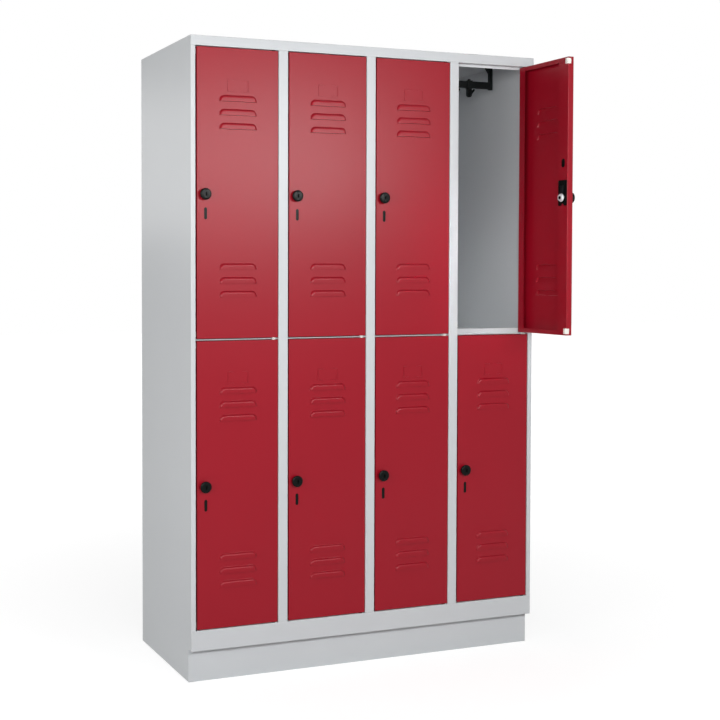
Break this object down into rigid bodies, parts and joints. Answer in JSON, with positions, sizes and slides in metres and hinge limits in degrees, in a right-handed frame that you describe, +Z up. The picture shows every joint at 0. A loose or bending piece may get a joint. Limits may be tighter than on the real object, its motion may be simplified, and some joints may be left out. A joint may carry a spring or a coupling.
{
  "type": "double-tier locker",
  "caption": "Steel locker with two tiers of compartments behind inset louvred doors with turn locks, coat rails with sliding hooks, on a recessed plinth; a door stands open.",
  "frame": {"origin": "on the floor at the middle of the carcass footprint, on the base channel's foot", "axes": "+Z up, doors face -Y, +X to the right as seen from the front"},
  "size_m": [1.2, 0.7443, 1.95],
  "materials": {
    "carcass_grey": "light grey powder coat, fine satin texture",
    "door_ruby": "ruby red powder coat, satin gloss",
    "black_plastic": "moulded black plastic, fine grain",
    "lock_steel": "zinc-plated steel",
    "white_nylon": "natural white nylon"
  },
  "bodies": {
    "carcass": {"left_side_panel": "carcass_grey", "right_side_panel": "carcass_grey", "partition_1": "carcass_grey", "partition_2": "carcass_grey", "partition_3": "carcass_grey", "roof_panel": "carcass_grey", "floor_panel": "carcass_grey", "back_panel": "carcass_grey", "plinth_frame": "carcass_grey", "tier_shelves": "carcass_grey", "hinge_pivots": "white_nylon", "coat_rails": "black_plastic"},
    "door_1_lower": {"door_1_lower": "door_ruby", "lock_case_1_lower": "black_plastic", "door_buffers_1_lower": "white_nylon"},
    "lock_1_lower": {"lock_knob_1_lower": "black_plastic", "lock_cam_1_lower": "lock_steel"},
    "hooks_1_lower": {"coat_hooks_1_lower": "black_plastic"},
    "door_1_upper": {"door_1_upper": "door_ruby", "lock_case_1_upper": "black_plastic", "door_buffers_1_upper": "white_nylon"},
    "lock_1_upper": {"lock_knob_1_upper": "black_plastic", "lock_cam_1_upper": "lock_steel"},
    "hooks_1_upper": {"coat_hooks_1_upper": "black_plastic"},
    "door_2_lower": {"door_2_lower": "door_ruby", "lock_case_2_lower": "black_plastic", "door_buffers_2_lower": "white_nylon"},
    "lock_2_lower": {"lock_knob_2_lower": "black_plastic", "lock_cam_2_lower": "lock_steel"},
    "hooks_2_lower": {"coat_hooks_2_lower": "black_plastic"},
    "door_2_upper": {"door_2_upper": "door_ruby", "lock_case_2_upper": "black_plastic", "door_buffers_2_upper": "white_nylon"},
    "lock_2_upper": {"lock_knob_2_upper": "black_plastic", "lock_cam_2_upper": "lock_steel"},
    "hooks_2_upper": {"coat_hooks_2_upper": "black_plastic"},
    "door_3_lower": {"door_3_lower": "door_ruby", "lock_case_3_lower": "black_plastic", "door_buffers_3_lower": "white_nylon"},
    "lock_3_lower": {"lock_knob_3_lower": "black_plastic", "lock_cam_3_lower": "lock_steel"},
    "hooks_3_lower": {"coat_hooks_3_lower": "black_plastic"},
    "door_3_upper": {"door_3_upper": "door_ruby", "lock_case_3_upper": "black_plastic", "door_buffers_3_upper": "white_nylon"},
    "lock_3_upper": {"lock_knob_3_upper": "black_plastic", "lock_cam_3_upper": "lock_steel"},
    "hooks_3_upper": {"coat_hooks_3_upper": "black_plastic"},
    "door_4_lower": {"door_4_lower": "door_ruby", "lock_case_4_lower": "black_plastic", "door_buffers_4_lower": "white_nylon"},
    "lock_4_lower": {"lock_knob_4_lower": "black_plastic", "lock_cam_4_lower": "lock_steel"},
    "hooks_4_lower": {"coat_hooks_4_lower": "black_plastic"},
    "door_4_upper": {"door_4_upper": "door_ruby", "lock_case_4_upper": "black_plastic", "door_buffers_4_upper": "white_nylon"},
    "lock_4_upper": {"lock_knob_4_upper": "black_plastic", "lock_cam_4_upper": "lock_steel"},
    "hooks_4_upper": {"coat_hooks_4_upper": "black_plastic"}
  },
  "joints": [
    {"name": "door_1_lower_swing", "type": "hinge", "parent": "carcass", "child": "door_1_lower", "pos_m": [-0.3295, -0.242, 0.165], "axis": [0, 0, 1], "range_deg": [0, 110]},
    {"name": "lock_1_lower_turn", "type": "hinge", "parent": "door_1_lower", "child": "lock_1_lower", "pos_m": [-0.5565, -0.242, 0.5985], "axis": [0, -1, 0], "range_deg": [0, 90]},
    {"name": "hooks_1_lower_slide", "type": "slide", "parent": "carcass", "child": "hooks_1_lower", "axis": [1, 0, 0], "range_m": [-0.02, 0.068]},
    {"name": "door_1_upper_swing", "type": "hinge", "parent": "carcass", "child": "door_1_upper", "pos_m": [-0.3295, -0.242, 1.04475], "axis": [0, 0, 1], "range_deg": [0, 110]},
    {"name": "lock_1_upper_turn", "type": "hinge", "parent": "door_1_upper", "child": "lock_1_upper", "pos_m": [-0.5565, -0.242, 1.47825], "axis": [0, -1, 0], "range_deg": [0, 90]},
    {"name": "hooks_1_upper_slide", "type": "slide", "parent": "carcass", "child": "hooks_1_upper", "axis": [1, 0, 0], "range_m": [-0.02, 0.068]},
    {"name": "door_2_lower_swing", "type": "hinge", "parent": "carcass", "child": "door_2_lower", "pos_m": [-0.0295, -0.242, 0.165], "axis": [0, 0, 1], "range_deg": [0, 110]},
    {"name": "lock_2_lower_turn", "type": "hinge", "parent": "door_2_lower", "child": "lock_2_lower", "pos_m": [-0.2565, -0.242, 0.5985], "axis": [0, -1, 0], "range_deg": [0, 90]},
    {"name": "hooks_2_lower_slide", "type": "slide", "parent": "carcass", "child": "hooks_2_lower", "axis": [1, 0, 0], "range_m": [-0.02, 0.068]},
    {"name": "door_2_upper_swing", "type": "hinge", "parent": "carcass", "child": "door_2_upper", "pos_m": [-0.0295, -0.242, 1.04475], "axis": [0, 0, 1], "range_deg": [0, 110]},
    {"name": "lock_2_upper_turn", "type": "hinge", "parent": "door_2_upper", "child": "lock_2_upper", "pos_m": [-0.2565, -0.242, 1.47825], "axis": [0, -1, 0], "range_deg": [0, 90]},
    {"name": "hooks_2_upper_slide", "type": "slide", "parent": "carcass", "child": "hooks_2_upper", "axis": [1, 0, 0], "range_m": [-0.02, 0.068]},
    {"name": "door_3_lower_swing", "type": "hinge", "parent": "carcass", "child": "door_3_lower", "pos_m": [0.2705, -0.242, 0.165], "axis": [0, 0, 1], "range_deg": [0, 110]},
    {"name": "lock_3_lower_turn", "type": "hinge", "parent": "door_3_lower", "child": "lock_3_lower", "pos_m": [0.0435, -0.242, 0.5985], "axis": [0, -1, 0], "range_deg": [0, 90]},
    {"name": "hooks_3_lower_slide", "type": "slide", "parent": "carcass", "child": "hooks_3_lower", "axis": [1, 0, 0], "range_m": [-0.02, 0.068]},
    {"name": "door_3_upper_swing", "type": "hinge", "parent": "carcass", "child": "door_3_upper", "pos_m": [0.2705, -0.242, 1.04475], "axis": [0, 0, 1], "range_deg": [0, 110]},
    {"name": "lock_3_upper_turn", "type": "hinge", "parent": "door_3_upper", "child": "lock_3_upper", "pos_m": [0.0435, -0.242, 1.47825], "axis": [0, -1, 0], "range_deg": [0, 90]},
    {"name": "hooks_3_upper_slide", "type": "slide", "parent": "carcass", "child": "hooks_3_upper", "axis": [1, 0, 0], "range_m": [-0.02, 0.068]},
    {"name": "door_4_lower_swing", "type": "hinge", "parent": "carcass", "child": "door_4_lower", "pos_m": [0.5705, -0.242, 0.165], "axis": [0, 0, 1], "range_deg": [0, 110]},
    {"name": "lock_4_lower_turn", "type": "hinge", "parent": "door_4_lower", "child": "lock_4_lower", "pos_m": [0.3435, -0.242, 0.5985], "axis": [0, -1, 0], "range_deg": [0, 90]},
    {"name": "hooks_4_lower_slide", "type": "slide", "parent": "carcass", "child": "hooks_4_lower", "axis": [1, 0, 0], "range_m": [-0.02, 0.068]},
    {"name": "door_4_upper_swing", "type": "hinge", "parent": "carcass", "child": "door_4_upper", "pos_m": [0.5705, -0.242, 1.04475], "axis": [0, 0, 1], "range_deg": [-91, 19]},
    {"name": "lock_4_upper_turn", "type": "hinge", "parent": "door_4_upper", "child": "lock_4_upper", "pos_m": [0.57446, -0.46897, 1.47825], "axis": [0.9998, 0.0175, 0], "range_deg": [0, 90]},
    {"name": "hooks_4_upper_slide", "type": "slide", "parent": "carcass", "child": "hooks_4_upper", "axis": [1, 0, 0], "range_m": [-0.02, 0.068]}
  ]
}
